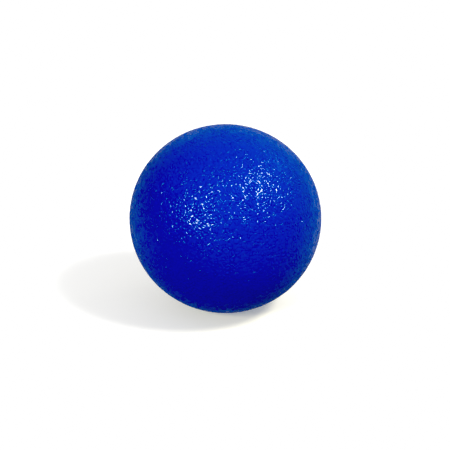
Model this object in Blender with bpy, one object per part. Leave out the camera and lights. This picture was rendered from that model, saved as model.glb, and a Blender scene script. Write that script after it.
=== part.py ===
"""Stress ball: a grained thermoplastic-rubber cover stretched over a gel-filled bladder.

The cover is moulded with one filling port, which a barbed plug and a ring of glue close.
The bladder inside it has a filling hole of its own, closed by a small stopper, and holds the gel.

Frame: metres, +Z up. The origin is the centre of the flat patch that the ball rests on.
The port faces +Y, so the parting plane of the cover's mould is the ball's own XZ plane.

Every piece is turned about the port axis, which runs along Y through the ball's centre.
A section is a list of (along, radius) points: along is measured from the centre towards
the port, and radius from the axis. It starts and ends on the axis, or is a closed ring.
"""

import math

import bmesh
import bpy
from mathutils import Matrix, Vector

MM = 0.001

# Driving dimensions
BALL_RADIUS = 30.0 * MM
HEIGHT_TO_WIDTH = 0.983  # the soft ball settles a little under its own weight
REST_PATCH_RADIUS = 5.0 * MM  # the gel flattens against the table over this circle
COVER_WALL = 3.0 * MM
BLADDER_WALL = 0.9 * MM
CLEARANCE = 0.3 * MM  # between neighbouring pieces
FINE_CLEARANCE = 0.1 * MM  # inside the port, where the pieces share one faceting

# Filling port in the cover
SEAT_RADIUS = 5.0 * MM  # sunk seat for the plug's head
SEAT_DEPTH = 1.6 * MM
SEAT_LEAD_IN = 0.3 * MM  # rounded mouth of the seat
BORE_RADIUS = 3.4 * MM
NECK_RADIUS = 5.8 * MM  # boss that thickens the cover round the bore
NECK_HEIGHT = 1.6 * MM  # how far the boss stands in from the cover's inner wall
NECK_ROUNDING = 0.6 * MM

# Plug and glue
GLUE_THICKNESS = 0.4 * MM
BARB_RADIUS = 4.1 * MM  # wider than the bore, so the plug can't be pushed back out
BARB_LENGTH = 1.1 * MM
PLUG_TIP_RADIUS = 2.6 * MM
STEM_GROOVE = 0.35 * MM
STEM_GROOVES = 2

# Bladder and its stopper
DIMPLE_GAP = 0.8 * MM  # between the plug's tip and the stopper behind it
DIMPLE_RADIUS = 7.2 * MM  # where the neck presses into the bladder
DIMPLE_ROUNDING = 0.8 * MM
FILL_HOLE_RADIUS = 1.8 * MM
STOPPER_HEAD_RADIUS = 3.4 * MM
STOPPER_HEAD = 0.7 * MM
STOPPER_TIP_RADIUS = 1.3 * MM
STOPPER_TIP = 1.0 * MM  # how far the stopper's stem stands past the bladder's wall

# Faceting
COVER_SEGMENTS = 40
INNER_SEGMENTS = 28
OUTER_ARC_STEPS = 20
INNER_ARC_STEPS = 16
FILLET_STEPS = 3

# Derived places
CENTRE_HEIGHT = (
    BALL_RADIUS * HEIGHT_TO_WIDTH * math.sqrt(1 - (REST_PATCH_RADIUS / BALL_RADIUS) ** 2)
)
CENTRE = Vector((0.0, 0.0, CENTRE_HEIGHT))
COVER_INNER_RADIUS = BALL_RADIUS - COVER_WALL
SEAT_FLOOR = math.sqrt(BALL_RADIUS**2 - SEAT_RADIUS**2) - SEAT_DEPTH
NECK_END = COVER_INNER_RADIUS - NECK_HEIGHT
BARB_SHOULDER = NECK_END - FINE_CLEARANCE
PLUG_TIP = BARB_SHOULDER - BARB_LENGTH
BLADDER_RADIUS = COVER_INNER_RADIUS - CLEARANCE
STOPPER_TOP = PLUG_TIP - DIMPLE_GAP
DIMPLE_FLOOR = STOPPER_TOP - STOPPER_HEAD - FINE_CLEARANCE
DIMPLE_INNER_FLOOR = DIMPLE_FLOOR - BLADDER_WALL
GEL_RADIUS = BLADDER_RADIUS - BLADDER_WALL - CLEARANCE


def on_sphere(sphere_radius, radius):
    """How far along the axis a sphere about the ball's centre has this radius, on the port's side."""
    return math.sqrt(sphere_radius**2 - radius**2)


def sphere_arc(sphere_radius, end_radius, steps):
    """Section of a sphere from its front pole, round its equator, to the given radius near the port."""
    quarter = math.pi / 2
    past_equator = quarter - math.asin(end_radius / sphere_radius)
    half = steps // 2
    angles = [quarter * step / half for step in range(half + 1)]
    angles += [quarter + past_equator * step / half for step in range(1, half + 1)]
    return [
        (-sphere_radius * math.cos(angle), sphere_radius * math.sin(angle) if angle else 0.0)
        for angle in angles
    ]


def fillet(corner, start, end, steps=FILLET_STEPS):
    """Points of a rounded corner from start to end, which lie on the two lines that meet at corner."""
    points = []
    for step in range(steps + 1):
        share = step / steps
        weights = ((1 - share) ** 2, 2 * share * (1 - share), share**2)
        points.append(
            tuple(
                weights[0] * a + weights[1] * b + weights[2] * c
                for a, b, c in zip(start, corner, end)
            )
        )
    return points


def cover_section():
    """Outer sphere, sunk seat, bore and neck, and back along the inner sphere."""
    mouth_radius = SEAT_RADIUS + SEAT_LEAD_IN
    mouth = (on_sphere(BALL_RADIUS, SEAT_RADIUS), SEAT_RADIUS)
    neck_root = on_sphere(COVER_INNER_RADIUS, NECK_RADIUS + NECK_ROUNDING)
    outside = sphere_arc(BALL_RADIUS, mouth_radius, OUTER_ARC_STEPS)
    lip = fillet(mouth, outside[-1], (mouth[0] - SEAT_LEAD_IN, SEAT_RADIUS))
    port = [
        (SEAT_FLOOR, SEAT_RADIUS),
        (SEAT_FLOOR, BORE_RADIUS),
        (NECK_END, BORE_RADIUS),
    ]
    neck = fillet(
        (NECK_END, NECK_RADIUS),
        (NECK_END, NECK_RADIUS - NECK_ROUNDING),
        (NECK_END + NECK_ROUNDING, NECK_RADIUS),
    )
    root = (neck_root, NECK_RADIUS + NECK_ROUNDING)
    inside = sphere_arc(COVER_INNER_RADIUS, root[1], INNER_ARC_STEPS)
    return outside[:-1] + lip + port + neck + inside[::-1]


def plug_section():
    """Domed head flush with the cover, grooved stem, and a barb that hooks behind the neck."""
    head_radius = SEAT_RADIUS - FINE_CLEARANCE
    stem_radius = BORE_RADIUS - FINE_CLEARANCE
    under_head = SEAT_FLOOR + GLUE_THICKNESS + 2 * FINE_CLEARANCE
    rim = on_sphere(BALL_RADIUS, head_radius)
    tip = [(PLUG_TIP, 0.0), (PLUG_TIP, PLUG_TIP_RADIUS), (BARB_SHOULDER, BARB_RADIUS)]
    stem = [(BARB_SHOULDER, stem_radius)]
    pitch = (under_head - BARB_SHOULDER) / (2 * STEM_GROOVES + 1)
    for groove in range(STEM_GROOVES):
        low = BARB_SHOULDER + (2 * groove + 1) * pitch
        stem += [
            (low, stem_radius),
            (low, stem_radius - STEM_GROOVE),
            (low + pitch, stem_radius - STEM_GROOVE),
            (low + pitch, stem_radius),
        ]
    stem.append((under_head, stem_radius))
    edge = [
        (under_head, head_radius),
        (rim - SEAT_LEAD_IN, head_radius),
        (on_sphere(BALL_RADIUS, head_radius - SEAT_LEAD_IN), head_radius - SEAT_LEAD_IN),
    ]
    dome_steps = 3
    dome_start = head_radius - SEAT_LEAD_IN
    dome_radii = [dome_start * (1 - step / dome_steps) for step in range(1, dome_steps + 1)]
    dome = [(on_sphere(BALL_RADIUS, radius), radius) for radius in dome_radii]
    return tip + stem + edge + dome


def glue_ring_section():
    """Cured glue between the seat's floor and the plug's head."""
    low = SEAT_FLOOR + FINE_CLEARANCE
    inner = BORE_RADIUS + FINE_CLEARANCE
    outer = SEAT_RADIUS - FINE_CLEARANCE
    return [
        (low, inner),
        (low + GLUE_THICKNESS, inner),
        (low + GLUE_THICKNESS, outer),
        (low, outer),
    ]


def dimple(sphere_radius, dimple_radius, floor, rounding, steps):
    """Sphere with the neck's dimple pressed into its port side, ending at the dimple's flat floor."""
    rim_radius = dimple_radius + rounding
    rim = on_sphere(sphere_radius, rim_radius)
    outside = sphere_arc(sphere_radius, rim_radius, steps)
    turn_in = fillet(
        (on_sphere(sphere_radius, dimple_radius), dimple_radius),
        (rim, rim_radius),
        (rim - rounding, dimple_radius),
    )
    turn_out = fillet(
        (floor, dimple_radius),
        (floor + rounding, dimple_radius),
        (floor, dimple_radius - rounding),
    )
    return outside[:-1] + turn_in + turn_out


def bladder_section():
    """Thin bag with a filling hole in the floor of its dimple."""
    outside = dimple(BLADDER_RADIUS, DIMPLE_RADIUS, DIMPLE_FLOOR, DIMPLE_ROUNDING, INNER_ARC_STEPS)
    inside = dimple(
        BLADDER_RADIUS - BLADDER_WALL,
        DIMPLE_RADIUS + BLADDER_WALL,
        DIMPLE_INNER_FLOOR,
        DIMPLE_ROUNDING,
        INNER_ARC_STEPS,
    )
    hole = [(DIMPLE_FLOOR, FILL_HOLE_RADIUS), (DIMPLE_INNER_FLOOR, FILL_HOLE_RADIUS)]
    return outside + hole + inside[::-1]


def stopper_section():
    """Flat head, straight stem through the bladder's wall, and a tapered tip in the gel."""
    stem_radius = FILL_HOLE_RADIUS - FINE_CLEARANCE
    under_head = DIMPLE_FLOOR + FINE_CLEARANCE
    rounding = STOPPER_HEAD / 3
    tip = DIMPLE_INNER_FLOOR - STOPPER_TIP
    return [
        (tip, 0.0),
        (tip, STOPPER_TIP_RADIUS),
        (DIMPLE_INNER_FLOOR, stem_radius),
        (under_head, stem_radius),
        (under_head, STOPPER_HEAD_RADIUS),
        (STOPPER_TOP - rounding, STOPPER_HEAD_RADIUS),
        (STOPPER_TOP, STOPPER_HEAD_RADIUS - rounding),
        (STOPPER_TOP, 0.0),
    ]


def gel_section():
    """Set gel that fills the bladder, with the stopper's tip sunk in it."""
    floor = DIMPLE_INNER_FLOOR - CLEARANCE
    pocket = FILL_HOLE_RADIUS + CLEARANCE
    pocket_floor = DIMPLE_INNER_FLOOR - STOPPER_TIP - CLEARANCE
    dimple_radius = DIMPLE_RADIUS + BLADDER_WALL + CLEARANCE
    outside = dimple(GEL_RADIUS, dimple_radius, floor, DIMPLE_ROUNDING, INNER_ARC_STEPS)
    return outside + [(floor, pocket), (pocket_floor, pocket), (pocket_floor, 0.0)]


def turned_mesh(name, section, segments):
    """Mesh of a section turned once round the port axis, about the ball's centre."""
    shape = bmesh.new()
    corners = [shape.verts.new((radius, along, 0.0)) for along, radius in section]
    edges = [shape.edges.new(pair) for pair in zip(corners, corners[1:])]
    if section[-1][1] > 0:
        edges.append(shape.edges.new((corners[-1], corners[0])))
    bmesh.ops.spin(
        shape,
        geom=corners + edges,
        cent=(0.0, 0.0, 0.0),
        axis=(0.0, 1.0, 0.0),
        angle=2 * math.pi,
        steps=segments,
        use_merge=True,
    )
    bmesh.ops.remove_doubles(shape, verts=shape.verts, dist=0.001 * MM)
    bmesh.ops.recalc_face_normals(shape, faces=shape.faces)
    settle = Matrix.Diagonal((1.0, 1.0, HEIGHT_TO_WIDTH, 1.0))
    bmesh.ops.transform(shape, matrix=settle, verts=shape.verts)
    mesh = bpy.data.meshes.new(name)
    shape.to_mesh(mesh)
    shape.free()
    return mesh


def flatten_underside(mesh):
    """Cuts the cover where it rests, so that it ends in the flat patch."""
    shape = bmesh.new()
    shape.from_mesh(mesh)
    cut = bmesh.ops.bisect_plane(
        shape,
        geom=shape.verts[:] + shape.edges[:] + shape.faces[:],
        plane_co=-CENTRE,
        plane_no=(0.0, 0.0, -1.0),
        clear_outer=True,
    )
    rim = [item for item in cut["geom_cut"] if isinstance(item, bmesh.types.BMEdge)]
    bmesh.ops.holes_fill(shape, edges=rim)
    bmesh.ops.recalc_face_normals(shape, faces=shape.faces)
    shape.to_mesh(mesh)
    shape.free()


def material(name, colour, roughness):
    """Principled material of one moulded or filled piece."""
    made = bpy.data.materials.new(name)
    made.use_nodes = True
    shader = made.node_tree.nodes["Principled BSDF"]
    shader.inputs["Base Color"].default_value = (*colour, 1.0)
    shader.inputs["Roughness"].default_value = roughness
    shader.inputs["Metallic"].default_value = 0.0
    return made


def piece(name, mesh, finish, parent):
    """Named object for one piece, smooth-shaded apart from its sharp edges."""
    mesh.materials.append(finish)
    mesh.shade_smooth()
    mesh.set_sharp_from_angle(angle=math.radians(30))
    made = bpy.data.objects.new(name, mesh)
    made.parent = parent
    bpy.context.scene.collection.objects.link(made)
    return made


def build():
    """Makes the six pieces about the ball's centre."""
    for old in list(bpy.data.objects):
        bpy.data.objects.remove(old, do_unlink=True)

    centre = bpy.data.objects.new("ball_centre", None)
    centre.location = CENTRE
    bpy.context.scene.collection.objects.link(centre)

    blue = material("blue_grained_rubber", (0.003, 0.008, 0.40), 0.38)
    glue = material("clear_glue", (0.72, 0.70, 0.60), 0.25)
    milky = material("milky_bladder_rubber", (0.80, 0.80, 0.76), 0.45)
    gel = material("clear_gel", (0.62, 0.74, 0.84), 0.10)

    cover_mesh = turned_mesh("cover", cover_section(), COVER_SEGMENTS)
    flatten_underside(cover_mesh)
    piece("cover", cover_mesh, blue, centre)
    piece("cover_plug", turned_mesh("cover_plug", plug_section(), COVER_SEGMENTS), blue, centre)
    piece("glue_ring", turned_mesh("glue_ring", glue_ring_section(), COVER_SEGMENTS), glue, centre)
    piece("bladder", turned_mesh("bladder", bladder_section(), INNER_SEGMENTS), milky, centre)
    piece(
        "bladder_stopper",
        turned_mesh("bladder_stopper", stopper_section(), INNER_SEGMENTS),
        milky,
        centre,
    )
    piece("gel_core", turned_mesh("gel_core", gel_section(), INNER_SEGMENTS), gel, centre)


build()
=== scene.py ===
"""Looks of the stress ball: a soft blue rubber cover with a moulded leather grain, filled with gel.

Everything is in metres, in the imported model's own frame: +Z is up, the filling port faces +Y, and
the origin is the middle of the patch that the ball rests on. Every piece is turned about the port's
axis, which runs along Y through the ball's centre, and is built about that centre as a true sphere.
It is then lifted into place and settled, which makes it a little lower than it is wide.
"""

from __future__ import annotations

import logging
import math
from collections.abc import Sequence
from dataclasses import dataclass
from enum import Enum
from typing import Any

import bmesh
import bpy
from mathutils import Matrix, Vector

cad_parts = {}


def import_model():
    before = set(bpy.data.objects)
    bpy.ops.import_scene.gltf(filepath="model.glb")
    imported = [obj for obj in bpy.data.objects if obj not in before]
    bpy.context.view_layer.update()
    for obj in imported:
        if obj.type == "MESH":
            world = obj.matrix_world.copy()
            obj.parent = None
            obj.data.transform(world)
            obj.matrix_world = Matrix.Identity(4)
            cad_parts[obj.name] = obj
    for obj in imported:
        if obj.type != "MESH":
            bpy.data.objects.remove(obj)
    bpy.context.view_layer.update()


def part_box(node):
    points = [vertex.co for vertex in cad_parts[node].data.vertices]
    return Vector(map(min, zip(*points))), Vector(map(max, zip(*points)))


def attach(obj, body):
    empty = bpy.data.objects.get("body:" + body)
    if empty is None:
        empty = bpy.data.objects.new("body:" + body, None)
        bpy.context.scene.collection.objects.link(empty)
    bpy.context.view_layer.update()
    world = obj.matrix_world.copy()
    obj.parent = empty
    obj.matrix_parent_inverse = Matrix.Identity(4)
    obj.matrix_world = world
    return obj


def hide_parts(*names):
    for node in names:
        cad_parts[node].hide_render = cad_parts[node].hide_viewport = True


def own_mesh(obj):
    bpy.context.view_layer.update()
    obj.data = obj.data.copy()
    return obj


LOG = logging.getLogger("stress_ball")
MM = 0.001
PORT_AXIS = Vector((0.0, 1.0, 0.0))
RELIEF_SHARE = "relief_share"
MOULD_POINT = "mould_point"
MID_GREY = (0.5, 0.5, 0.5)
LOT_MIX = (7.0, 11.0, 13.0)  # shares no factor, so that a cell's lot says nothing of its lean
WELD_REACH = 1e-7
SHARP_EDGE = math.radians(40)

Span = tuple[float, float]
Point = tuple[float, float]  # along the port's axis, and away from it
Section = list[Point]
Colour = tuple[float, float, float]
Inputs = dict[Any, Any]
Socket = bpy.types.NodeSocket
Material = bpy.types.Material
Number = "float | Value"


# --- nodes


class Value:
    """A number that varies over a surface. Arithmetic on it adds Math nodes to its graph."""

    def __init__(self, graph: Graph, socket: Socket) -> None:
        """Wraps an output socket of one of the graph's nodes."""
        self.graph = graph
        self.socket = socket

    def __add__(self, other: Number) -> Value:
        """Sum."""
        return self.graph.math("ADD", self, other)

    def __radd__(self, other: Number) -> Value:
        """Sum, with the plain number first."""
        return self.graph.math("ADD", other, self)

    def __sub__(self, other: Number) -> Value:
        """Difference."""
        return self.graph.math("SUBTRACT", self, other)

    def __rsub__(self, other: Number) -> Value:
        """Difference, with the plain number first."""
        return self.graph.math("SUBTRACT", other, self)

    def __mul__(self, other: Number) -> Value:
        """Product."""
        return self.graph.math("MULTIPLY", self, other)

    def __rmul__(self, other: Number) -> Value:
        """Product, with the plain number first."""
        return self.graph.math("MULTIPLY", other, self)


class Graph:
    """Adds nodes to one node tree, which belongs to a material, a world or a geometry modifier."""

    def __init__(self, tree: bpy.types.NodeTree) -> None:
        """Starts on an existing tree, whose nodes stay as they are."""
        self.tree = tree

    def node(
        self, kind: str, settings: dict[str, Any] | None = None, inputs: Inputs | None = None
    ) -> bpy.types.Node:
        """Adds one node.

        Args:
            kind: the node's type, such as ShaderNodeTexNoise.
            settings: the node's own properties, set before its sockets.
            inputs: socket name or index to a Value, an output socket or a constant.

        Returns:
            The new node.
        """
        made = self.tree.nodes.new(kind)
        for name, setting in (settings or {}).items():
            setattr(made, name, setting)
        self.feed_all(made, inputs or {})
        return made

    def feed_all(self, node: bpy.types.Node, inputs: Inputs) -> None:
        """Feeds inputs of one node, given by name or index."""
        for name, given in inputs.items():
            self.feed(node.inputs[name], given)

    def feed(self, socket: Socket, given: Any) -> None:
        """Links a Value or an output socket to an input socket, or sets a constant on it."""
        if isinstance(given, Value):
            given = given.socket
        if isinstance(given, Socket):
            self.tree.links.new(given, socket)
        else:
            socket.default_value = given

    def math(self, operation: str, first: Number, second: Number = 0.0) -> Value:
        """Adds a Math node and returns its result."""
        made = self.node("ShaderNodeMath", {"operation": operation}, {0: first, 1: second})
        return Value(self, made.outputs[0])

    def vector_math(self, operation: str, first: Any, second: Any = None) -> bpy.types.Node:
        """Adds a Vector Math node, with one vector or two."""
        inputs = {0: first} if second is None else {0: first, 1: second}
        return self.node("ShaderNodeVectorMath", {"operation": operation}, inputs)

    def scaled(self, vector: Any, factor: Number) -> Socket:
        """A vector times a number."""
        inputs = {0: vector, "Scale": factor}
        return self.node("ShaderNodeVectorMath", {"operation": "SCALE"}, inputs).outputs[0]

    def ramp(
        self, value: Value, start: float, end: float, low: float = 0.0, high: float = 1.0
    ) -> Value:
        """Smooth step of a value.

        Args:
            value: what is mapped.
            start: the value that gives low.
            end: the value that gives high.
            low: result at and before start.
            high: result at and after end.

        Returns:
            The mapped value.
        """
        made = self.node(
            "ShaderNodeMapRange",
            {"interpolation_type": "SMOOTHSTEP"},
            {0: value, 1: start, 2: end, 3: low, 4: high},
        )
        return Value(self, made.outputs[0])

    def noise(self, point: Any, pitch: float, detail: float = 2.0, roughness: float = 0.5) -> Value:
        """Soft noise from 0 to 1.

        Args:
            point: where it is read, in metres.
            pitch: size of its largest features, in metres.
            detail: how many times finer noise is added to it.
            roughness: how strongly the finer noise shows.

        Returns:
            The noise.
        """
        made = self.node(
            "ShaderNodeTexNoise",
            inputs={"Vector": point, "Scale": 1 / pitch, "Detail": detail, "Roughness": roughness},
        )
        return Value(self, made.outputs[0])

    def wander(self, point: Any, pitch: float, reach: float) -> Socket:
        """Moves a point by soft noise.

        Args:
            point: the point, in metres.
            pitch: how far apart the noise changes direction.
            reach: how far the point may move along each axis.

        Returns:
            The socket of the moved point.
        """
        noise = self.node(
            "ShaderNodeTexNoise", inputs={"Vector": point, "Scale": 1 / pitch, "Detail": 1.0}
        )
        centred = self.vector_math("SUBTRACT", noise.outputs["Color"], MID_GREY)
        step = self.scaled(centred.outputs[0], 2 * reach)
        return self.vector_math("ADD", point, step).outputs[0]

    def cell_border(self, point: Any, pitch: float) -> Value:
        """Distance to the border of the nearest cell of an irregular honeycomb, in metres.

        Args:
            point: where it is read, in metres.
            pitch: spacing of the cells.

        Returns:
            The distance at that point.
        """
        made = self.node(
            "ShaderNodeTexVoronoi",
            {"feature": "DISTANCE_TO_EDGE"},
            {"Vector": point, "Scale": 1 / pitch, "Randomness": 1.0},
        )
        return Value(self, made.outputs["Distance"]) * pitch

    def cell(self, point: Any, pitch: float) -> bpy.types.Node:
        """Node that gives the middle and the random lot of the same honeycomb's cells."""
        return self.node(
            "ShaderNodeTexVoronoi",
            {"feature": "F1"},
            {"Vector": point, "Scale": 1 / pitch, "Randomness": 1.0},
        )

    def cell_lot(self, cell: bpy.types.Node) -> Value:
        """A random number from 0 to 1 for each cell, unrelated to the cell's lean."""
        mixed = self.vector_math("DOT_PRODUCT", cell.outputs["Color"], LOT_MIX)
        return self.math("FRACT", Value(self, mixed.outputs["Value"]))

    def cell_tilt(self, cell: bpy.types.Node, point: Any) -> Value:
        """Height of a plane that leans its own random way in each cell.

        Args:
            cell: the node of the cells.
            point: where it is read, in metres.

        Returns:
            The height in metres, for slopes up to 1 along each axis, and 0 at the cell's middle.
        """
        lean = self.vector_math("SUBTRACT", cell.outputs["Color"], MID_GREY)
        arm = self.vector_math("SUBTRACT", point, cell.outputs["Position"])
        rise = self.vector_math("DOT_PRODUCT", lean.outputs[0], arm.outputs[0])
        return Value(self, rise.outputs["Value"]) * 2

    def facing(self, direction: Any, towards: Sequence[float]) -> Value:
        """Cosine of the angle between a direction and a fixed one."""
        made = self.vector_math("DOT_PRODUCT", direction, Vector(towards).normalized())
        return Value(self, made.outputs["Value"])

    def tint(self, factor: Value, first: Sequence[float], second: Sequence[float]) -> Any:
        """Colour that goes from the first to the second as the factor goes from 0 to 1."""
        made = self.node("ShaderNodeMix", {"data_type": "RGBA"})
        self.feed(made.inputs[0], factor)
        for socket, colour in ((made.inputs[6], first), (made.inputs[7], second)):
            self.feed(socket, colour if isinstance(colour, Socket) else (*colour, 1.0))
        return made.outputs[2]

    def bump(self, height: Value) -> Socket:
        """Normal of a surface with this height over it, in metres."""
        inputs = {"Strength": 1.0, "Distance": 1.0, "Height": height}
        return self.node("ShaderNodeBump", inputs=inputs).outputs[0]


# --- grain


@dataclass(frozen=True)
class LeatherGrain:
    """Leather grain of the mould, as a height over the rubber. The mesh and the finish share it."""

    pebble_pitch: float = 1.1 * MM
    pebble_reach: float = 0.48 * MM
    shallowest_crease: float = 0.02 * MM
    deepest_crease: float = 0.20 * MM
    crease_sharpness: float = 3.0
    pebble_tilt: float = 0.05
    fine_pitch: float = 0.9 * MM
    fine_half_width: float = 0.16 * MM
    fine_depth: float = 0.012 * MM
    wander_pitch: float = 2.0 * MM
    wander_reach: float = 0.5 * MM
    swell_pitch: float = 5.0 * MM
    swell_span: Span = (0.25, 0.75)
    swell: float = 0.02 * MM

    @property
    def deepest(self) -> float:
        """Height of the deepest crease in the deepest hollow."""
        return -self.deepest_crease - self.swell

    def height(self, graph: Graph, point: Any) -> Value:
        """Height of the grain, about 0 at the tops of the pebbles and negative in the creases.

        Args:
            graph: the tree that gets the nodes, of a material or of a geometry modifier.
            point: where it is read, on the smooth ball about its centre, in metres.

        Returns:
            The height in metres.
        """
        bent = graph.wander(point, self.wander_pitch, self.wander_reach)
        border = graph.cell_border(bent, self.pebble_pitch)
        off_top = 1 - graph.math("MINIMUM", border * (1 / self.pebble_reach), 1.0)
        fall = graph.math("POWER", off_top, self.crease_sharpness)
        cell = graph.cell(bent, self.pebble_pitch)
        depth_range = self.deepest_crease - self.shallowest_crease
        depth = self.shallowest_crease + graph.cell_lot(cell) * depth_range
        tilt = graph.cell_tilt(cell, bent) * self.pebble_tilt
        fine = graph.ramp(graph.cell_border(bent, self.fine_pitch), 0.0, self.fine_half_width)
        swell = graph.ramp(graph.noise(point, self.swell_pitch, detail=1.0), *self.swell_span)
        top = (1 - fall) * (tilt + (fine - 1) * self.fine_depth)
        return top - fall * depth + (swell - 1) * self.swell


class MouldedRelief:
    """Presses the grain into a mesh with a geometry modifier, and applies it."""

    def __init__(self, grain: LeatherGrain) -> None:
        """Builds the modifier's node tree once, for every piece that the mould grains."""
        self.tree = bpy.data.node_groups.new("moulded_relief", "GeometryNodeTree")
        for direction in ("INPUT", "OUTPUT"):
            self.tree.interface.new_socket(
                name="Geometry", in_out=direction, socket_type="NodeSocketGeometry"
            )
        graph = Graph(self.tree)
        shape = graph.node("NodeGroupInput").outputs[0]
        point = graph.node("GeometryNodeInputPosition").outputs[0]
        outward = graph.vector_math("NORMALIZE", point).outputs[0]
        number = {"data_type": "FLOAT"}
        share = graph.node("GeometryNodeInputNamedAttribute", number, {0: RELIEF_SHARE})
        height = grain.height(graph, point) * Value(graph, share.outputs[0])
        move = {"Geometry": shape, "Offset": graph.scaled(outward, height)}
        pressed = graph.node("GeometryNodeSetPosition", inputs=move)
        graph.node("NodeGroupOutput", inputs={0: pressed.outputs[0]})

    def press(self, piece: bpy.types.Object) -> None:
        """Moves the piece's points by the grain's height times their relief_share."""
        modifier = piece.modifiers.new("moulded_relief", "NODES")
        modifier.node_group = self.tree
        apply_modifiers(piece)


# --- finishes


def new_material(name: str) -> tuple[Material, Graph, bpy.types.Node]:
    """Makes a material.

    Args:
        name: the material's name.

    Returns:
        The material, a graph on its tree, and its Principled shader.
    """
    made = bpy.data.materials.new(name)
    made.use_nodes = True
    return made, Graph(made.node_tree), made.node_tree.nodes["Principled BSDF"]


@dataclass(frozen=True)
class GrainedRubber:
    """Royal-blue moulded rubber: glossy pebble tops, and duller creases darkened a little by
    painted shade.
    """

    grain: LeatherGrain
    top_colour: Colour = (0.002, 0.065, 0.362)
    # the creases' colour is the tops' blue a little darker: painted shade in the creases
    crease_painted_shade_colour: Colour = (0.002, 0.064, 0.355)
    top_roughness: float = 0.11
    crease_roughness: float = 0.20
    grit_pitch: float = 0.6 * MM
    grit_depth: float = 0.01 * MM
    pore_pitch: float = 0.16 * MM
    pore_depth: float = 0.001 * MM
    pore_scatter: float = 0.06
    cloud_pitch: float = 9 * MM
    cloud_span: Span = (0.3, 0.7)
    cloud_shade: float = 0.9
    cloud_scatter: float = 0.05
    crease_share: float = 0.8  # of the deepest crease, past which the rubber is a duller crease with painted shade
    top_share: float = 0.15  # of the deepest crease, above which it looks like a pebble's top
    grain_boost: float = 0.65
    refraction: float = 1.39

    def build(self) -> Material:
        """Makes the material from the grain's own height."""
        made, graph, shader = new_material("blue_grained_rubber")
        point = graph.node("ShaderNodeAttribute", {"attribute_name": MOULD_POINT}).outputs["Vector"]
        share_node = graph.node("ShaderNodeAttribute", {"attribute_name": RELIEF_SHARE})
        share = Value(graph, share_node.outputs["Fac"])
        height = self.grain.height(graph, point) * share
        deepest = self.grain.deepest
        top = graph.ramp(height, self.crease_share * deepest, self.top_share * deepest)
        clouds = graph.noise(point, self.cloud_pitch, detail=3.0)
        pores = graph.noise(point, self.pore_pitch, roughness=0.6)
        # colour mix: 0 in the creases, which get painted shade; clouds vary the tops' tone at
        # random
        shade = graph.ramp(clouds, *self.cloud_span, low=self.cloud_shade) * top
        dull = (1 - top) * (self.crease_roughness - self.top_roughness)
        scatter = (pores - 0.5) * self.pore_scatter + (clouds - 0.5) * self.cloud_scatter
        grit = graph.noise(point, self.grit_pitch, detail=1.0)
        relief = height * self.grain_boost + grit * self.grit_depth + pores * self.pore_depth
        inputs = {
            "Base Color": graph.tint(shade, self.crease_painted_shade_colour, self.top_colour),
            "Roughness": self.top_roughness + dull + scatter,
            "Normal": graph.bump(relief),
            "IOR": self.refraction,
        }
        graph.feed_all(shader, inputs)
        return made


@dataclass(frozen=True)
class MilkyRubber:
    """Thin milky rubber of the bladder and its stopper, with flow clouds and a faint skin."""

    thick_colour: Colour = (0.80, 0.80, 0.76)
    thin_colour: Colour = (0.66, 0.70, 0.72)
    roughness: float = 0.42
    skin_scatter: float = 0.15
    flow_bend: Span = (8 * MM, 3 * MM)  # pitch and reach
    flow_pitch: float = 6 * MM
    flow_span: Span = (0.35, 0.7)
    flow_depth: float = 0.1 * MM
    skin_pitch: float = 0.5 * MM
    skin_depth: float = 0.02 * MM

    def build(self) -> Material:
        """Makes the material."""
        made, graph, shader = new_material("milky_bladder_rubber")
        point = graph.node("ShaderNodeTexCoord").outputs["Object"]
        flow = graph.noise(graph.wander(point, *self.flow_bend), self.flow_pitch, detail=3.0)
        skin = graph.noise(point, self.skin_pitch)
        thick = graph.ramp(flow, *self.flow_span)
        inputs = {
            "Base Color": graph.tint(thick, self.thin_colour, self.thick_colour),
            "Roughness": self.roughness + (skin - 0.5) * self.skin_scatter,
            "Normal": graph.bump(skin * self.skin_depth + flow * self.flow_depth),
            "Subsurface Weight": 0.3,
            "Subsurface Radius": (1.0, 0.9, 0.8),
            "Subsurface Scale": 1.5 * MM,
        }
        graph.feed_all(shader, inputs)
        return made


@dataclass(frozen=True)
class ClearGlue:
    """Cured clear glue: glossy, faintly yellow, with a few trapped bubbles."""

    colour: Colour = (0.70, 0.68, 0.56)
    bubble_colour: Colour = (0.88, 0.88, 0.84)
    bubble_pitch: float = 0.9 * MM
    bubble_span: Span = (0.36 * MM, 0.44 * MM)
    ripple_pitch: float = 0.8 * MM
    ripple_depth: float = 0.04 * MM
    roughness: float = 0.08
    bubble_scatter: float = 0.15
    ripple_scatter: float = 0.08

    def build(self) -> Material:
        """Makes the material."""
        made, graph, shader = new_material("clear_glue")
        point = graph.node("ShaderNodeTexCoord").outputs["Object"]
        bubbles = graph.ramp(graph.cell_border(point, self.bubble_pitch), *self.bubble_span)
        ripple = graph.noise(point, self.ripple_pitch)
        roughness = self.roughness + bubbles * self.bubble_scatter
        inputs = {
            "Base Color": graph.tint(bubbles, self.colour, self.bubble_colour),
            "Roughness": roughness + ripple * self.ripple_scatter,
            "Normal": graph.bump(ripple * self.ripple_depth),
            "Transmission Weight": 0.5,
            "IOR": 1.48,
        }
        graph.feed_all(shader, inputs)
        return made


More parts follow.
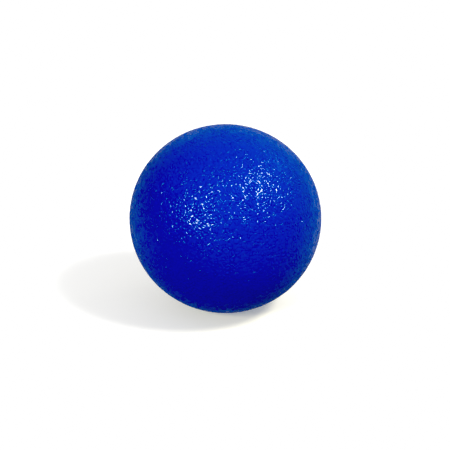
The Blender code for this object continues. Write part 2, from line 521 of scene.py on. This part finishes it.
@dataclass(frozen=True)
class SoftGel:
    """Clear, slightly blue gel with streaks from pouring and small trapped bubbles."""

    colour: Colour = (0.60, 0.74, 0.86)
    streak_colour: Colour = (0.74, 0.83, 0.90)
    bubble_colour: Colour = (0.92, 0.95, 0.97)
    streak_bend: Span = (14 * MM, 6 * MM)  # pitch and reach
    streak_pitch: float = 7 * MM
    streak_span: Span = (0.4, 0.65)
    bubble_pitch: float = 2.6 * MM
    bubble_span: Span = (1.0 * MM, 1.15 * MM)
    bubble_depth: float = 0.08 * MM
    ripple_pitch: float = 3 * MM
    ripple_depth: float = 0.12 * MM
    roughness: float = 0.07
    streak_scatter: float = 0.06
    bubble_scatter: float = 0.1

    def build(self) -> Material:
        """Makes the material."""
        made, graph, shader = new_material("clear_gel")
        point = graph.node("ShaderNodeTexCoord").outputs["Object"]
        poured = graph.wander(point, *self.streak_bend)
        streaks = graph.ramp(graph.noise(poured, self.streak_pitch), *self.streak_span)
        bubbles = graph.ramp(graph.cell_border(point, self.bubble_pitch), *self.bubble_span)
        body = graph.tint(streaks, self.colour, self.streak_colour)
        ripple = graph.noise(point, self.ripple_pitch)
        roughness = self.roughness + streaks * self.streak_scatter
        inputs = {
            "Base Color": graph.tint(bubbles, body, self.bubble_colour),
            "Roughness": roughness + bubbles * self.bubble_scatter,
            "Normal": graph.bump(ripple * self.ripple_depth + bubbles * self.bubble_depth),
            "Transmission Weight": 0.6,
            "IOR": 1.41,
        }
        graph.feed_all(shader, inputs)
        return made


@dataclass(frozen=True)
class StudioPaper:
    """Seamless white paper, with a warm tint near the ball to cancel the ball's blue light."""

    colour: Colour = (0.75, 0.75, 0.75)
    glow: float = 0.36
    blue_loss: float = 0.56
    green_loss: float = 0.10
    warm_reach: float = 16.0 * MM
    fibre_pitch: float = 2 * MM
    fibre_shade: float = 0.98

    def build(self) -> Material:
        """Makes the material."""
        made, graph, shader = new_material("studio_paper")
        point = graph.node("ShaderNodeTexCoord").outputs["Object"]
        fibres = graph.noise(point, self.fibre_pitch, detail=3.0)
        darker = tuple(self.fibre_shade * channel for channel in self.colour)
        plain = graph.tint(fibres, darker, self.colour)
        away = graph.vector_math("LENGTH", point).outputs["Value"]
        reaches = Value(graph, away) * (1 / self.warm_reach)
        near = graph.math("DIVIDE", 1.0, 1 + reaches * reaches)
        red, green, blue = self.colour
        warm = (red, green * (1 - self.green_loss), blue * (1 - self.blue_loss))
        inputs = {
            "Base Color": graph.tint(near, plain, warm),
            "Roughness": 0.9,
            "Specular IOR Level": 0.1,
            "Emission Color": (1.0, 1.0, 1.0, 1.0),
            "Emission Strength": self.glow,
        }
        graph.feed_all(shader, inputs)
        return made


# --- turned sections


def on_sphere(sphere_radius: float, radius: float) -> float:
    """How far along the port's axis a sphere about the ball's centre has this radius."""
    return math.sqrt(sphere_radius**2 - radius**2)


def sphere_arc(sphere_radius: float, end_radius: float, steps: int) -> Section:
    """Section of a sphere from its front pole, round its equator, towards the port.

    Args:
        sphere_radius: radius of the sphere.
        end_radius: distance from the axis at which the arc ends, on the port's side.
        steps: number of facets along it.

    Returns:
        (along, radius) points, the first one on the axis.
    """
    sweep = math.pi - math.asin(end_radius / sphere_radius)
    angles = [sweep * step / steps for step in range(steps + 1)]
    return [
        (-sphere_radius * math.cos(angle), sphere_radius * math.sin(angle) if angle else 0.0)
        for angle in angles
    ]


def fillet(corner: Point, start: Point, end: Point, steps: int = 5) -> Section:
    """Rounded corner.

    Args:
        corner: where the two straight sides would meet.
        start: where the rounding begins, on the first side.
        end: where it ends, on the second side.
        steps: number of facets along it.

    Returns:
        Points from start to end.
    """
    points = []
    for step in range(steps + 1):
        share = step / steps
        weights = ((1 - share) ** 2, 2 * share * (1 - share), share**2)
        points.append(
            tuple(
                weights[0] * a + weights[1] * b + weights[2] * c
                for a, b, c in zip(start, corner, end)
            )
        )
    return points


def turn(shape: bmesh.types.BMesh, section: Section, segments: int, ring: bool = False) -> None:
    """Turns a section once round the port's axis, about the ball's centre.

    Args:
        shape: mesh that gets the turned surface.
        section: (along, radius) points.
        segments: number of facets round the axis.
        ring: True where the section is a closed ring clear of the axis.
    """
    corners = [shape.verts.new((radius, along, 0.0)) for along, radius in section]
    edges = [shape.edges.new(pair) for pair in zip(corners, corners[1:])]
    if ring:
        edges.append(shape.edges.new((corners[-1], corners[0])))
    made = bmesh.ops.spin(
        shape,
        geom=corners + edges,
        cent=(0.0, 0.0, 0.0),
        axis=PORT_AXIS,
        angle=2 * math.pi,
        steps=segments,
        use_merge=True,
    )
    turned = [item for item in made["geom_last"] if isinstance(item, bmesh.types.BMVert)]
    bmesh.ops.remove_doubles(shape, verts=list({*turned, *shape.verts}), dist=WELD_REACH)


# --- pieces


def apply_modifiers(piece: bpy.types.Object) -> None:
    """Replaces the piece's mesh with what its modifiers make of it."""
    depsgraph = bpy.context.evaluated_depsgraph_get()
    finished = bpy.data.meshes.new_from_object(
        piece.evaluated_get(depsgraph), preserve_all_data_layers=True, depsgraph=depsgraph
    )
    unfinished = piece.data
    piece.modifiers.clear()
    piece.data = finished
    finished.name = piece.name
    bpy.data.meshes.remove(unfinished)


class Body(Enum):
    """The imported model's bodies."""

    COVER = "cover"
    FILLING = "filling"


@dataclass(frozen=True)
class Ball:
    """The ball's place and size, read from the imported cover."""

    radius: float
    top: float
    height_to_width: float = 0.983
    squeezed_share: float = 0.7008

    @classmethod
    def from_frame(cls) -> Ball:
        """Reads the cover's box."""
        low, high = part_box("cover")
        return cls(radius=(high.x - low.x) / 2, top=high.z)

    @property
    def centre_height(self) -> float:
        """Height of the ball's centre above what it rests on."""
        return self.top - self.radius * self.height_to_width

    def settle(self, mesh: bpy.types.Mesh) -> None:
        """Lifts a mesh built about the centre into place, settled, and flat on the table."""
        place = Matrix.Translation((0.0, 0.0, self.centre_height))
        mesh.transform(place @ Matrix.Diagonal((1.0, 1.0, self.height_to_width, 1.0)))
        for vertex in mesh.vertices:
            vertex.co.z = max(vertex.co.z, 0.0)
        mesh.update()


@dataclass
class Workshop:
    """What every sub-assembly needs: the ball's place, the relief and the finishes."""

    ball: Ball
    relief: MouldedRelief
    blue_rubber: Material
    milky_rubber: Material
    glue: Material
    gel: Material

    @classmethod
    def open(cls) -> Workshop:
        """Makes the finishes and the relief from one grain."""
        grain = LeatherGrain()
        return cls(
            ball=Ball.from_frame(),
            relief=MouldedRelief(grain),
            blue_rubber=GrainedRubber(grain).build(),
            milky_rubber=MilkyRubber().build(),
            glue=ClearGlue().build(),
            gel=SoftGel().build(),
        )

    def turned_piece(
        self, name: str, section: Section, segments: int, ring: bool = False
    ) -> bpy.types.Object:
        """Makes an object of one section, turned once round the port's axis as turn() does."""
        shape = bmesh.new()
        turn(shape, section, segments, ring)
        return self.start_piece(name, shape)

    def start_piece(self, name: str, shape: bmesh.types.BMesh) -> bpy.types.Object:
        """Makes an object of a mesh that is built about the ball's centre.

        Args:
            name: the piece's name.
            shape: its mesh, which is freed.

        Returns:
            The object, smooth-shaded apart from its sharp edges.
        """
        bmesh.ops.recalc_face_normals(shape, faces=shape.faces)
        mesh = bpy.data.meshes.new(name)
        shape.to_mesh(mesh)
        shape.free()
        mesh.shade_smooth()
        mesh.set_sharp_from_angle(angle=SHARP_EDGE)
        piece = bpy.data.objects.new(name, mesh)
        bpy.context.scene.collection.objects.link(piece)
        return piece

    def finish_piece(
        self, piece: bpy.types.Object, material: Material, slot: str, body: Body, node: str
    ) -> bpy.types.Object:
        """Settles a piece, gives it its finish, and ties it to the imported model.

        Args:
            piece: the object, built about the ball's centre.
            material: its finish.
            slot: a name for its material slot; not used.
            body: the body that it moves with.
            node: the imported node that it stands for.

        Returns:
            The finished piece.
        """
        self.ball.settle(piece.data)
        piece.data.materials.clear()
        piece.data.materials.append(material)
        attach(piece, body.value)
        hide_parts(node)
        anchor_height = 0.0 if body is Body.COVER else self.ball.centre_height
        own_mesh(piece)
        LOG.info("%s: %d faces on %s", piece.name, len(piece.data.polygons), body.value)
        return piece


@dataclass(frozen=True)
class Port:
    """Sizes of the filling port, shared by the cover and what closes it."""

    ball_radius: float
    wall: float = 3.0 * MM
    seat_radius: float = 5.0 * MM
    seat_depth: float = 1.6 * MM
    lead_in: float = 0.3 * MM
    bore_radius: float = 3.4 * MM
    neck_radius: float = 5.8 * MM
    neck_height: float = 1.6 * MM
    rounding: float = 0.6 * MM
    gap: float = 0.1 * MM
    barb_length: float = 1.1 * MM
    segments: int = 96

    @property
    def lining_radius(self) -> float:
        """Radius of the cover's inner wall."""
        return self.ball_radius - self.wall

    @property
    def seat_floor(self) -> float:
        """How far along the axis the seat's floor lies."""
        return on_sphere(self.ball_radius, self.seat_radius) - self.seat_depth

    @property
    def neck_end(self) -> float:
        """How far along the axis the neck starts, inside the ball."""
        return self.lining_radius - self.neck_height

    @property
    def barb_shoulder(self) -> float:
        """How far along the axis the plug's barb hooks behind the neck."""
        return self.neck_end - self.gap

    @property
    def plug_tip(self) -> float:
        """How far along the axis the plug's inner end lies."""
        return self.barb_shoulder - self.barb_length


@dataclass
class Cover:
    """The moulded cover: a grained outer skin, the filling port, and a smooth lining."""

    shop: Workshop
    port: Port
    coarse_facets: int = 3
    facet_cuts: int = 31
    skin_edge: float = 0.9 * MM
    fade: float = 0.9 * MM
    lining_steps: int = 40

    def grained_skin(self) -> bmesh.types.BMesh:
        """Sphere of even, small facets, open where the port goes, with its relief share."""
        radius = self.port.ball_radius
        shape = bmesh.new()
        bmesh.ops.create_icosphere(shape, subdivisions=self.coarse_facets, radius=radius)
        bmesh.ops.subdivide_edges(
            shape, edges=shape.edges, cuts=self.facet_cuts, use_grid_fill=True
        )
        for vertex in shape.verts:
            vertex.co = vertex.co.normalized() * radius
        opening = self.port.seat_radius + self.port.lead_in + self.skin_edge
        edge_plane = PORT_AXIS * on_sphere(radius, opening)
        bmesh.ops.bisect_plane(
            shape,
            geom=shape.verts[:] + shape.edges[:] + shape.faces[:],
            plane_co=edge_plane,
            plane_no=PORT_AXIS,
            clear_outer=True,
        )
        share = shape.verts.layers.float.new(RELIEF_SHARE)
        for vertex in shape.verts:
            from_axis = math.hypot(vertex.co.x, vertex.co.z)
            near = vertex.co.y > 0 and from_axis < opening + self.fade
            vertex[share] = max(0.0, (from_axis - opening) / self.fade) if near else 1.0
        return shape

    def add_port_and_lining(self, shape: bmesh.types.BMesh) -> None:
        """Adds the seat, bore, neck and lining, and joins them to the skin's open edge."""
        port = self.port
        mouth_radius = port.seat_radius + port.lead_in
        mouth = (on_sphere(port.ball_radius, port.seat_radius), port.seat_radius)
        lip_start = (on_sphere(port.ball_radius, mouth_radius), mouth_radius)
        lip = fillet(mouth, lip_start, (mouth[0] - port.lead_in, port.seat_radius))
        floor, end = port.seat_floor, port.neck_end
        bore = [(floor, port.seat_radius), (floor, port.bore_radius), (end, port.bore_radius)]
        neck = fillet(
            (end, port.neck_radius),
            (end, port.neck_radius - port.rounding),
            (end + port.rounding, port.neck_radius),
        )
        root_radius = port.neck_radius + port.rounding
        lining = sphere_arc(port.lining_radius, root_radius, self.lining_steps)
        turn(shape, lip + bore + neck + lining[::-1], port.segments)
        open_edges = [edge for edge in shape.edges if edge.is_boundary]
        bmesh.ops.bridge_loops(shape, edges=open_edges)

    def build(self) -> bpy.types.Object:
        """Makes the cover."""
        shape = self.grained_skin()
        self.add_port_and_lining(shape)
        piece = self.shop.start_piece("grained_cover", shape)
        remember_mould_point(piece.data)
        self.shop.relief.press(piece)
        self.shop.finish_piece(piece, self.shop.blue_rubber, "blue_rubber", Body.COVER, "cover")
        return piece


def remember_mould_point(mesh: bpy.types.Mesh) -> None:
    """Stores where each point lies on the smooth ball, which the grain's pattern follows."""
    places = mesh.attributes.new(MOULD_POINT, "FLOAT_VECTOR", "POINT")
    flat = [coordinate for vertex in mesh.vertices for coordinate in vertex.co]
    places.data.foreach_set("vector", flat)


@dataclass
class Plug:
    """The barbed plug: a grained head flush with the cover, a grooved stem, and a barb."""

    shop: Workshop
    port: Port
    glue_thickness: float = 0.4 * MM
    barb_radius: float = 4.1 * MM
    tip_radius: float = 2.6 * MM
    nose_rounding: float = 0.5 * MM
    nose_length: float = 0.4 * MM
    nose_radius: float = 3.1 * MM
    groove: float = 0.35 * MM
    grooves: int = 2
    dome_rings: int = 20
    fade: float = 0.7 * MM
    skin_depth: float = 0.01 * MM

    @property
    def head_radius(self) -> float:
        """Radius of the head, a gap smaller than the seat."""
        return self.port.seat_radius - self.port.gap

    @property
    def dome_edge(self) -> float:
        """Radius at which the head's rounded edge meets its dome."""
        return self.head_radius - self.port.lead_in

    def stem(self) -> Section:
        """Section from the plug's tip, round its barb, up its grooved stem."""
        port = self.port
        radius = port.bore_radius - port.gap
        under_head = port.seat_floor + self.glue_thickness + 2 * port.gap
        tip = port.plug_tip
        nose = fillet(
            (tip, self.tip_radius),
            (tip, self.tip_radius - self.nose_rounding),
            (tip + self.nose_length, self.nose_radius),
        )
        points = [(tip, 0.0), *nose, (port.barb_shoulder, self.barb_radius)]
        points.append((port.barb_shoulder, radius))
        pitch = (under_head - port.barb_shoulder) / (2 * self.grooves + 1)
        for turn_number in range(self.grooves):
            low = port.barb_shoulder + (2 * turn_number + 1) * pitch
            bottom = radius - self.groove
            points += [(low, radius), (low, bottom), (low + pitch, bottom), (low + pitch, radius)]
        return [*points, (under_head, radius), (under_head, self.head_radius)]

    def head(self) -> Section:
        """Section of the head, round its edge and over its dome to the axis."""
        ball = self.port.ball_radius
        rim = on_sphere(ball, self.head_radius)
        edge = fillet(
            (rim, self.head_radius),
            (rim - self.port.lead_in, self.head_radius),
            (on_sphere(ball, self.dome_edge), self.dome_edge),
        )
        rings = range(1, self.dome_rings + 1)
        radii = [self.dome_edge * (1 - ring / self.dome_rings) for ring in rings]
        return edge + [(on_sphere(ball, radius), radius) for radius in radii]

    def build(self) -> bpy.types.Object:
        """Makes the plug."""
        shape = bmesh.new()
        turn(shape, self.stem() + self.head(), self.port.segments)
        share = shape.verts.layers.float.new(RELIEF_SHARE)
        for vertex in shape.verts:
            from_axis = math.hypot(vertex.co.x, vertex.co.z)
            if vertex.co.length > self.port.ball_radius - self.skin_depth:
                vertex[share] = max(0.0, min(1.0, (self.dome_edge - from_axis) / self.fade))
        piece = self.shop.start_piece("grained_plug", shape)
        remember_mould_point(piece.data)
        self.shop.relief.press(piece)
        material = self.shop.blue_rubber
        return self.shop.finish_piece(piece, material, "blue_rubber", Body.FILLING, "cover_plug")


@dataclass
class GlueRing:
    """Cured glue between the seat's floor and the plug's head."""

    shop: Workshop
    port: Port
    thickness: float = 0.4 * MM
    rounding: float = 0.15 * MM

    def section(self) -> Section:
        """Closed ring section with rounded corners."""
        low = self.port.seat_floor + self.port.gap
        high = low + self.thickness
        inner = self.port.bore_radius + self.port.gap
        outer = self.port.seat_radius - self.port.gap
        soft = self.rounding
        return [
            *fillet((low, inner), (low, inner + soft), (low + soft, inner)),
            *fillet((high, inner), (high - soft, inner), (high, inner + soft)),
            *fillet((high, outer), (high, outer - soft), (high - soft, outer)),
            *fillet((low, outer), (low + soft, outer), (low, outer - soft)),
        ]

    def build(self) -> bpy.types.Object:
        """Makes the glue ring."""
        segments = self.port.segments
        piece = self.shop.turned_piece("cured_glue_ring", self.section(), segments, ring=True)
        material = self.shop.glue
        return self.shop.finish_piece(piece, material, "clear_glue", Body.FILLING, "glue_ring")


@dataclass(frozen=True)
class Bag:
    """Sizes of the bladder, shared by its stopper and the gel inside it."""

    port: Port
    gap: float = 0.3 * MM
    wall: float = 0.9 * MM
    plug_gap: float = 0.8 * MM
    dimple_radius: float = 7.2 * MM
    rounding: float = 0.8 * MM
    hole_radius: float = 1.8 * MM
    stopper_head: float = 0.7 * MM
    stopper_tip: float = 1.0 * MM
    steps: int = 48
    segments: int = 96

    @property
    def radius(self) -> float:
        """Outer radius."""
        return self.port.lining_radius - self.gap

    @property
    def stopper_top(self) -> float:
        """How far along the axis the stopper's head ends, short of the plug."""
        return self.port.plug_tip - self.plug_gap

    @property
    def floor(self) -> float:
        """How far along the axis the dimple's floor lies."""
        return self.stopper_top - self.stopper_head - self.port.gap

    @property
    def inner_floor(self) -> float:
        """How far along the axis the wall of the dimple's floor ends, inside."""
        return self.floor - self.wall

    def dimpled(self, sphere_radius: float, dimple_radius: float, floor: float) -> Section:
        """Section of a sphere with the neck's dimple pressed into its port side.

        Args:
            sphere_radius: radius of the sphere.
            dimple_radius: radius of the dimple's straight side.
            floor: how far along the axis its floor lies.

        Returns:
            Points from the front pole to the edge of the dimple's flat floor.
        """
        soft = self.rounding
        rim = on_sphere(sphere_radius, dimple_radius + soft)
        outside = sphere_arc(sphere_radius, dimple_radius + soft, self.steps)
        turn_in = fillet(
            (on_sphere(sphere_radius, dimple_radius), dimple_radius),
            (rim, dimple_radius + soft),
            (rim - soft, dimple_radius),
        )
        turn_out = fillet(
            (floor, dimple_radius), (floor + soft, dimple_radius), (floor, dimple_radius - soft)
        )
        return outside[:-1] + turn_in + turn_out


@dataclass
class Bladder:
    """The thin bag that holds the gel, with a filling hole in the floor of its dimple."""

    shop: Workshop
    bag: Bag

    def section(self) -> Section:
        """Section out along the outer wall, through the hole, and back along the inner wall."""
        bag = self.bag
        outside = bag.dimpled(bag.radius, bag.dimple_radius, bag.floor)
        inside = bag.dimpled(bag.radius - bag.wall, bag.dimple_radius + bag.wall, bag.inner_floor)
        hole = bag.hole_radius
        outer = bag.floor
        inner = bag.inner_floor
        soft = bag.wall / 4
        outer_lip = fillet((outer, hole), (outer, hole + soft), (outer - soft, hole))
        inner_lip = fillet((inner, hole), (inner + soft, hole), (inner, hole + soft))
        return outside + outer_lip + inner_lip + inside[::-1]

    def build(self) -> bpy.types.Object:
        """Makes the bladder."""
        piece = self.shop.turned_piece("gel_bladder", self.section(), self.bag.segments)
        material = self.shop.milky_rubber
        return self.shop.finish_piece(piece, material, "milky_rubber", Body.COVER, "bladder")


@dataclass
class Stopper:
    """The bladder's stopper: a flat head, a stem through the wall, and a tapered tip in the gel."""

    shop: Workshop
    bag: Bag
    head_radius: float = 3.4 * MM
    tip_radius: float = 1.3 * MM
    nose_radius: float = 1.38 * MM
    rounding: float = 0.23 * MM

    def section(self) -> Section:
        """Section from the tip to the middle of the head."""
        bag = self.bag
        stem = bag.hole_radius - bag.port.gap
        under = bag.floor + bag.port.gap
        tip = bag.inner_floor - bag.stopper_tip
        top = bag.stopper_top
        rim = self.head_radius
        soft = self.rounding
        nose = fillet(
            (tip, self.tip_radius), (tip, self.tip_radius - soft), (tip + soft, self.nose_radius)
        )
        return [
            (tip, 0.0),
            *nose,
            (bag.inner_floor, stem),
            (under, stem),
            *fillet((under, rim), (under, rim - soft), (under + soft, rim)),
            *fillet((top, rim), (top - soft, rim), (top, rim - soft)),
            (top, 0.0),
        ]

    def build(self) -> bpy.types.Object:
        """Makes the stopper."""
        piece = self.shop.turned_piece("bladder_stopper_button", self.section(), self.bag.segments)
        material, node = self.shop.milky_rubber, "bladder_stopper"
        return self.shop.finish_piece(piece, material, "milky_rubber", Body.FILLING, node)


@dataclass
class GelCore:
    """The set gel that fills the bladder, with a pocket round the stopper's tip."""

    shop: Workshop
    bag: Bag

    def section(self) -> Section:
        """Section from the front pole to the floor of the pocket."""
        bag = self.bag
        floor = bag.inner_floor - bag.gap
        pocket = bag.hole_radius + bag.gap
        pocket_floor = bag.inner_floor - bag.stopper_tip - bag.gap
        around = bag.wall + bag.gap
        outside = bag.dimpled(bag.radius - around, bag.dimple_radius + around, floor)
        soft = bag.gap
        lip = fillet((floor, pocket), (floor, pocket + soft), (floor - soft, pocket))
        heel = fillet(
            (pocket_floor, pocket), (pocket_floor + soft, pocket), (pocket_floor, pocket - soft)
        )
        return outside + lip + heel + [(pocket_floor, 0.0)]

    def build(self) -> bpy.types.Object:
        """Makes the gel."""
        piece = self.shop.turned_piece("set_gel_core", self.section(), self.bag.segments)
        return self.shop.finish_piece(piece, self.shop.gel, "clear_gel", Body.FILLING, "gel_core")


# --- studio


@dataclass(frozen=True)
class RoundSoftbox:
    """A round lamp, placed by the angles at which the ball sees it."""

    name: str
    bearing: float  # degrees round the ball from the camera's side, towards +X
    elevation: float  # degrees above the table
    half_angle: float  # degrees from its middle to its edge
    radiance: float
    distance: float = 1.2

    def build(self, target: Vector) -> bpy.types.Object:
        """Makes the lamp, facing the target."""
        bearing, elevation = math.radians(self.bearing), math.radians(self.elevation)
        towards = Vector(
            (
                math.sin(bearing) * math.cos(elevation),
                -math.cos(bearing) * math.cos(elevation),
                math.sin(elevation),
            )
        )
        lamp = bpy.data.lights.new(self.name, "AREA")
        lamp.shape = "DISK"
        radius = self.distance * math.tan(math.radians(self.half_angle))
        lamp.size = 2 * radius
        lamp.energy = self.radiance * math.pi * math.pi * radius**2
        made = bpy.data.objects.new(self.name, lamp)
        made.location = target + towards * self.distance
        made.rotation_mode = "QUATERNION"
        made.rotation_quaternion = towards.to_track_quat("Z", "Y")
        bpy.context.scene.collection.objects.link(made)
        return made


@dataclass(frozen=True)
class Patch:
    """A soft-edged round patch of the room, brighter or darker than the walls round it."""

    direction: tuple[float, float, float]
    edge: float  # cosine of the angle from its middle at which it ends
    full: float  # cosine of the angle within which it has its full amount
    amount: float

    def reach(self, graph: Graph, direction: Any) -> Value:
        """How much of the patch is seen in a direction, from 0 to its amount."""
        facing = graph.facing(direction, self.direction)
        return graph.ramp(facing, self.edge, self.full, high=self.amount)


@dataclass
class Studio:
    """Plain white studio: paper floor, round softboxes, white surroundings, and the camera."""

    ball: Ball
    paper_half_side: float = 4.0
    room_light: float = 0.49
    ground_light: float = 0.95
    horizon_span: Span = (-0.2, 0.5)
    camera_elevation: float = 22.0
    lens: float = 100.0
    sensor: float = 36.0
    ball_share_of_frame: float = 0.4272
    drop_of_frame_centre: float = 0.0144
    shift_of_frame: float = -0.0008
    film_black: float = 0.10
    film_base: float = 0.0026
    panels: tuple[Patch, ...] = (
        Patch((0.0, 0.95, 0.30), 0.8, 0.97, 0.20),
        Patch((0.68, 0.50, 0.54), 0.5, 0.95, 0.14),
    )
    flags: tuple[Patch, ...] = (
        Patch((-0.1, 0.6, -0.79), 0.5, 1.0, 0.5),
        Patch((-0.62, 0.0, -0.78), 0.7, 0.97, 0.35),
        Patch((0.15, 0.4, 0.9), 0.5, 0.95, 0.12),
        Patch((0.0, 0.93, -0.37), 0.80, 0.97, 0.3),
        Patch((0.83, -0.21, -0.52), 0.6, 0.95, 0.2),
    )
    lamps: tuple[RoundSoftbox, ...] = (
        RoundSoftbox("right_lamp", 62.5, 49.0, 6.4, 52.0),
        RoundSoftbox("right_diffuser", 62.5, 49.0, 11.0, 4.7, 1.3),
        RoundSoftbox("side_lamp", 126.0, 33.0, 6.0, 2.5),
        RoundSoftbox("left_lamp", -33.5, 26.5, 6.0, 46.0),
        RoundSoftbox("left_diffuser", -33.5, 26.5, 7.0, 8.0, 1.3),
    )

    @property
    def centre(self) -> Vector:
        """The ball's centre."""
        return Vector((0.0, 0.0, self.ball.centre_height))

    def lay_floor(self) -> bpy.types.Object:
        """Lays the white paper that the ball rests on."""
        shape = bmesh.new()
        bmesh.ops.create_grid(shape, x_segments=4, y_segments=4, size=self.paper_half_side)
        mesh = bpy.data.meshes.new("paper_floor")
        shape.to_mesh(mesh)
        shape.free()
        mesh.materials.append(StudioPaper().build())
        floor = bpy.data.objects.new("paper_floor", mesh)
        floor.visible_diffuse = False
        floor.visible_glossy = False
        floor.visible_shadow = False
        bpy.context.scene.collection.objects.link(floor)
        return floor

    def light_surroundings(self) -> None:
        """Gives the room its white light, with brighter panels and darker flags."""
        world = bpy.data.worlds.new("white_room")
        world.use_nodes = True
        bpy.context.scene.world = world
        graph = Graph(world.node_tree)
        direction = graph.node("ShaderNodeTexCoord").outputs["Generated"]
        background = world.node_tree.nodes["Background"]
        downward = graph.facing(direction, (0.0, 0.0, -1.0))
        strength = graph.ramp(downward, *self.horizon_span, self.room_light, self.ground_light)
        for panel in self.panels:
            strength = strength + panel.reach(graph, direction)
        for flag in self.flags:
            strength = strength * (1 - flag.reach(graph, direction))
        graph.feed_all(background, {"Color": (1.0, 1.0, 1.0, 1.0), "Strength": strength})

    def place_camera(self) -> bpy.types.Object:
        """Aims the camera so that the ball has its share of the frame."""
        lens = bpy.data.cameras.new("camera")
        lens.lens = self.lens
        lens.sensor_width = self.sensor
        lens.shift_x = self.shift_of_frame
        half_width = self.ball_share_of_frame * self.sensor / 2 / self.lens
        distance = self.ball.radius / math.sin(math.atan(half_width))
        elevation = math.radians(self.camera_elevation)
        back = Vector((0.0, -math.cos(elevation), math.sin(elevation)))
        up = Vector((0.0, math.sin(elevation), math.cos(elevation)))
        drop = self.drop_of_frame_centre * self.sensor / self.lens * distance
        camera = bpy.data.objects.new("camera", lens)
        camera.location = self.centre + back * distance
        camera.rotation_mode = "QUATERNION"
        aim = camera.location - (self.centre - up * drop)
        camera.rotation_quaternion = aim.to_track_quat("Z", "Y")
        bpy.context.scene.collection.objects.link(camera)
        bpy.context.scene.camera = camera
        return camera

    def grade(self) -> None:
        """Sets a plain film response with a slightly raised black point."""
        view = bpy.context.scene.view_settings
        view.view_transform = "Standard"
        view.use_curve_mapping = True
        view.curve_mapping.extend = "HORIZONTAL"
        view.curve_mapping.black_level = (self.film_black,) * 3
        view.curve_mapping.curves[3].points[0].location = (0.0, self.film_base)
        view.curve_mapping.update()

    def build(self) -> None:
        """Sets up the whole studio."""
        self.lay_floor()
        self.light_surroundings()
        for lamp in self.lamps:
            lamp.build(self.centre)
        self.place_camera()
        self.grade()


# --- main


def main() -> None:
    """Builds the ball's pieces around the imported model, and the studio round them."""
    logging.basicConfig(level=logging.INFO, format="%(name)s: %(message)s")
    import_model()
    shop = Workshop.open()
    port = Port(ball_radius=shop.ball.radius)
    Studio(shop.ball).build()
    bag = Bag(port)
    Cover(shop, port).build()
    Plug(shop, port).build()
    GlueRing(shop, port).build()
    Bladder(shop, bag).build()
    Stopper(shop, bag).build()
    GelCore(shop, bag).build()


if __name__ == "__main__":
    main()
